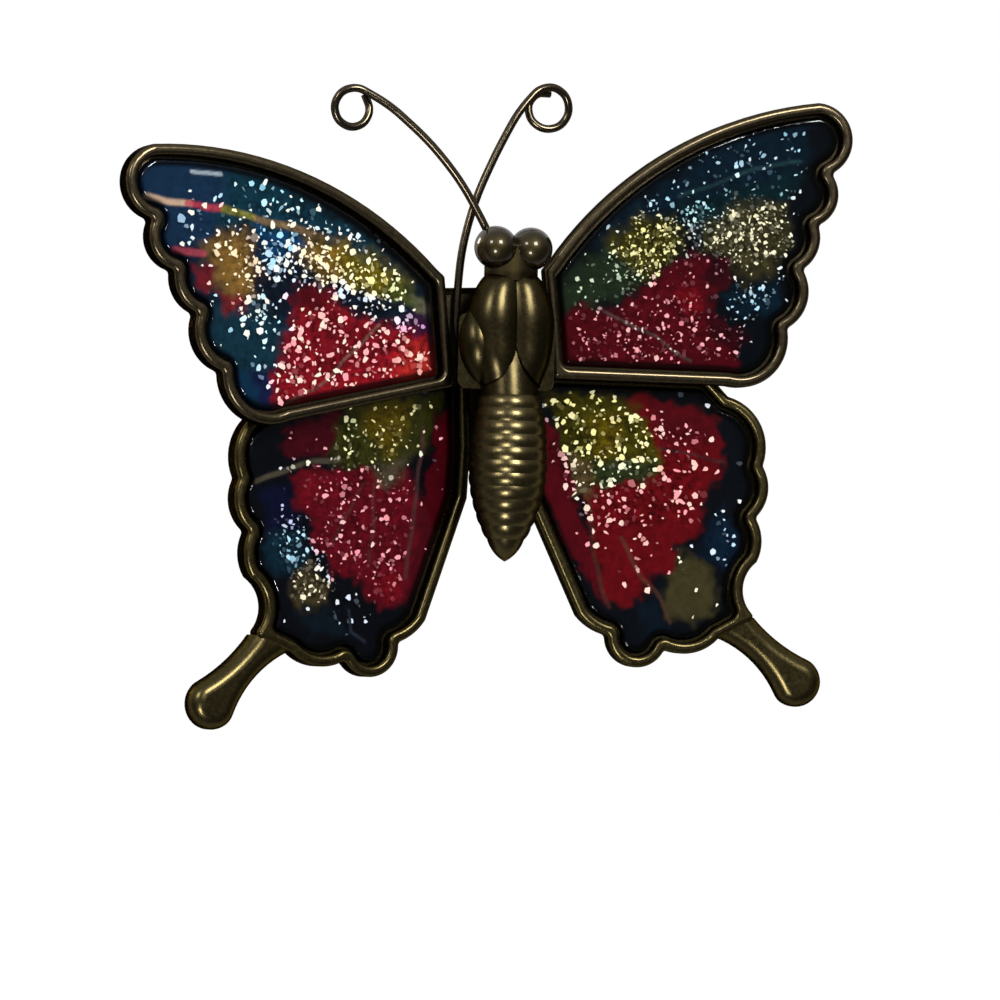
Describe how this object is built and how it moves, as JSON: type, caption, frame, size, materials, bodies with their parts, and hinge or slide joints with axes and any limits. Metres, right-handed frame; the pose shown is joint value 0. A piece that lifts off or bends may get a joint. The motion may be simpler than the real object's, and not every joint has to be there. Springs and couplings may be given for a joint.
{
  "type": "butterfly magnet ornament",
  "caption": "Cast butterfly ornament with printed, epoxy-domed wing inserts, a ribbed body, a swivelling wire antenna pair and a magnet on the back.",
  "frame": {"origin": "centre of the magnet's rear face, on the axis of the post that the stack is headed on", "axes": "+Z towards the head, +X along the wing span to the viewer's right, -Y towards the viewer, +Y out of the back"},
  "size_m": [0.0759, 0.0147, 0.0633],
  "materials": {
    "antique_brass": "antiqued plating, satin",
    "antique_wire": "antiqued plating, satin",
    "forewing_print": "glossy print with glitter",
    "hindwing_print": "glossy print with glitter",
    "clear_epoxy": "clear, glossy",
    "ferrite": "matte, ground",
    "glue": "cured, translucent"
  },
  "bodies": {
    "ornament": {"forewing_frame": "antique_brass", "hindwing_frame": "antique_brass", "body": "antique_brass", "magnet": "ferrite", "magnet_glue": "glue", "left_forewing_print": "forewing_print", "left_forewing_dome": "clear_epoxy", "right_forewing_print": "forewing_print", "right_forewing_dome": "clear_epoxy", "left_hindwing_print": "hindwing_print", "left_hindwing_dome": "clear_epoxy", "right_hindwing_print": "hindwing_print", "right_hindwing_dome": "clear_epoxy"},
    "antenna": {"antenna_wire": "antique_wire"}
  },
  "joints": [
    {"name": "antenna_swivel", "type": "hinge", "parent": "ornament", "child": "antenna", "pos_m": [0, 0, 0], "axis": [0, 1, 0], "range_deg": [-6, 18]}
  ]
}
